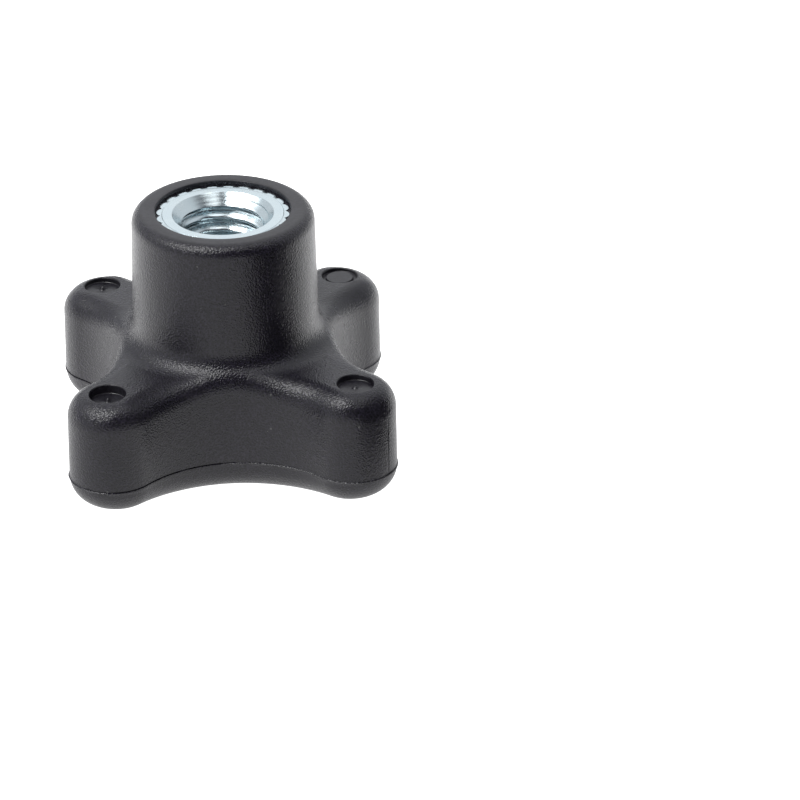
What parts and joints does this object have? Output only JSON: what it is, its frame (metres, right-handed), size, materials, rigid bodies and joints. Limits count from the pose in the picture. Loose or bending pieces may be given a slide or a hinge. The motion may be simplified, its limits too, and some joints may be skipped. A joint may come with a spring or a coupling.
{
  "type": "star knob",
  "caption": "Lobed clamping knob with a raised hub, a through hole and a threaded steel bush moulded into a black plastic body, for hand-tightening on a stud.",
  "frame": {"origin": "centre of the knob's flat face, on the bore's axis", "axes": "+Z along the bore's axis from the flat face to the hub end; +X and +Y through two neighbouring lobes"},
  "size_m": [0.045, 0.045, 0.0277],
  "materials": {
    "black_plastic": "fine spark-eroded grain, black, semi-matt",
    "zinc_plated_steel": "turned and threaded, bright bluish zinc plate"
  },
  "bodies": {
    "root": {"knob_body": "black_plastic", "threaded_bush": "zinc_plated_steel"}
  },
  "joints": []
}
